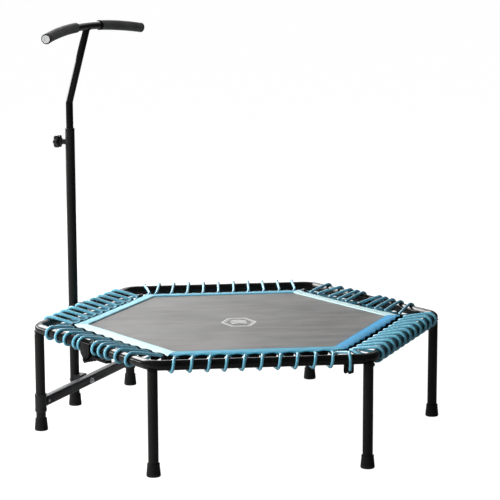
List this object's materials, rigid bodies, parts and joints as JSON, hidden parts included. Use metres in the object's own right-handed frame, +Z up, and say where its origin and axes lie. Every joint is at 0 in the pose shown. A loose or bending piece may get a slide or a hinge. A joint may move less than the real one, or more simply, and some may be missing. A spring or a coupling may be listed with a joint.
{
  "type": "mini trampoline",
  "caption": "Hexagonal mini trampoline: tube frame that folds in half, bungee-laced mat, screw-in legs and a height-adjustable T-bar handle on a braced post.",
  "frame": {"origin": "centre of the hexagonal frame, on the floor", "axes": "+X towards the right corner of the hexagon, -Y towards the front side, +Z up; the handle post stands at 150 degrees"},
  "size_m": [1.282, 1.1343, 1.2481],
  "materials": {
    "gloss_black_steel": "gloss black powder coat",
    "satin_black_steel": "satin black powder coat",
    "zinc_steel": "bright zinc plated",
    "black_rubber": "matte moulded",
    "black_plastic": "fine texture",
    "grey_plastic": "smooth",
    "foam": "closed-cell foam, matte",
    "mat_weave": "woven polypropylene",
    "blue_border": "sewn webbing band",
    "blue_cord": "braided sheath over rubber"
  },
  "bodies": {
    "rear_frame": {"rear_frame_tube": "gloss_black_steel", "leg_stud_left": "satin_black_steel", "leg_tube_left": "satin_black_steel", "leg_foot_left": "black_rubber", "leg_stud_back_left": "satin_black_steel", "leg_tube_back_left": "satin_black_steel", "leg_foot_back_left": "black_rubber", "leg_stud_back_right": "satin_black_steel", "leg_tube_back_right": "satin_black_steel", "leg_foot_back_right": "black_rubber", "hinge_cheeks_left": "satin_black_steel", "hinge_cheeks_right": "satin_black_steel", "hinge_pin_left": "zinc_steel", "hinge_pin_right": "zinc_steel", "handle_post": "satin_black_steel", "post_foot": "black_rubber", "post_bushing": "black_plastic", "knob_boss": "satin_black_steel", "frame_saddle": "black_plastic", "brace_saddle": "black_plastic", "frame_bolt": "zinc_steel", "brace_bolt": "zinc_steel", "brace_tube": "satin_black_steel", "brace_sleeve_left": "black_plastic", "brace_sleeve_back_left": "black_plastic", "mat_rear": "mat_weave", "mat_border_rear": "blue_border", "cord_left_rear": "blue_cord", "cord_back_left": "blue_cord", "cord_back": "blue_cord", "cord_right_rear": "blue_cord"},
    "front_frame": {"front_frame_tube": "gloss_black_steel", "leg_stud_front_left": "satin_black_steel", "leg_tube_front_left": "satin_black_steel", "leg_foot_front_left": "black_rubber", "leg_stud_front_right": "satin_black_steel", "leg_tube_front_right": "satin_black_steel", "leg_foot_front_right": "black_rubber", "leg_stud_right": "satin_black_steel", "leg_tube_right": "satin_black_steel", "leg_foot_right": "black_rubber", "hinge_tongue_left": "satin_black_steel", "hinge_tongue_right": "satin_black_steel", "cord_anchor": "satin_black_steel", "mat_front": "mat_weave", "mat_border_front": "blue_border", "cord_left_front": "blue_cord", "cord_front": "blue_cord", "cord_front_right": "blue_cord", "cord_right_front": "blue_cord"},
    "handle": {"handle_stem": "gloss_black_steel", "handle_bar": "gloss_black_steel", "bar_saddle": "gloss_black_steel", "grip_left": "foam", "grip_right": "foam", "end_plug_left": "grey_plastic", "end_plug_right": "grey_plastic"},
    "knob": {"knob_head": "black_plastic", "knob_screw": "zinc_steel"}
  },
  "joints": [
    {"name": "frame_fold", "type": "hinge", "parent": "rear_frame", "child": "front_frame", "pos_m": [-0.0055, 0.00953, 0.284], "axis": [0.866, 0.5, 0], "range_deg": [0, 90], "stiffness_Nm_per_rad": 25, "springref_deg": -91.67},
    {"name": "handle_height", "type": "slide", "parent": "rear_frame", "child": "handle", "axis": [0, 0, 1], "range_m": [-0.06, 0.14]},
    {"name": "knob_turn", "type": "hinge", "parent": "rear_frame", "child": "knob", "pos_m": [-0.50524, 0.2917, 0.865], "axis": [-0.866, 0.5, 0], "continuous": true}
  ]
}
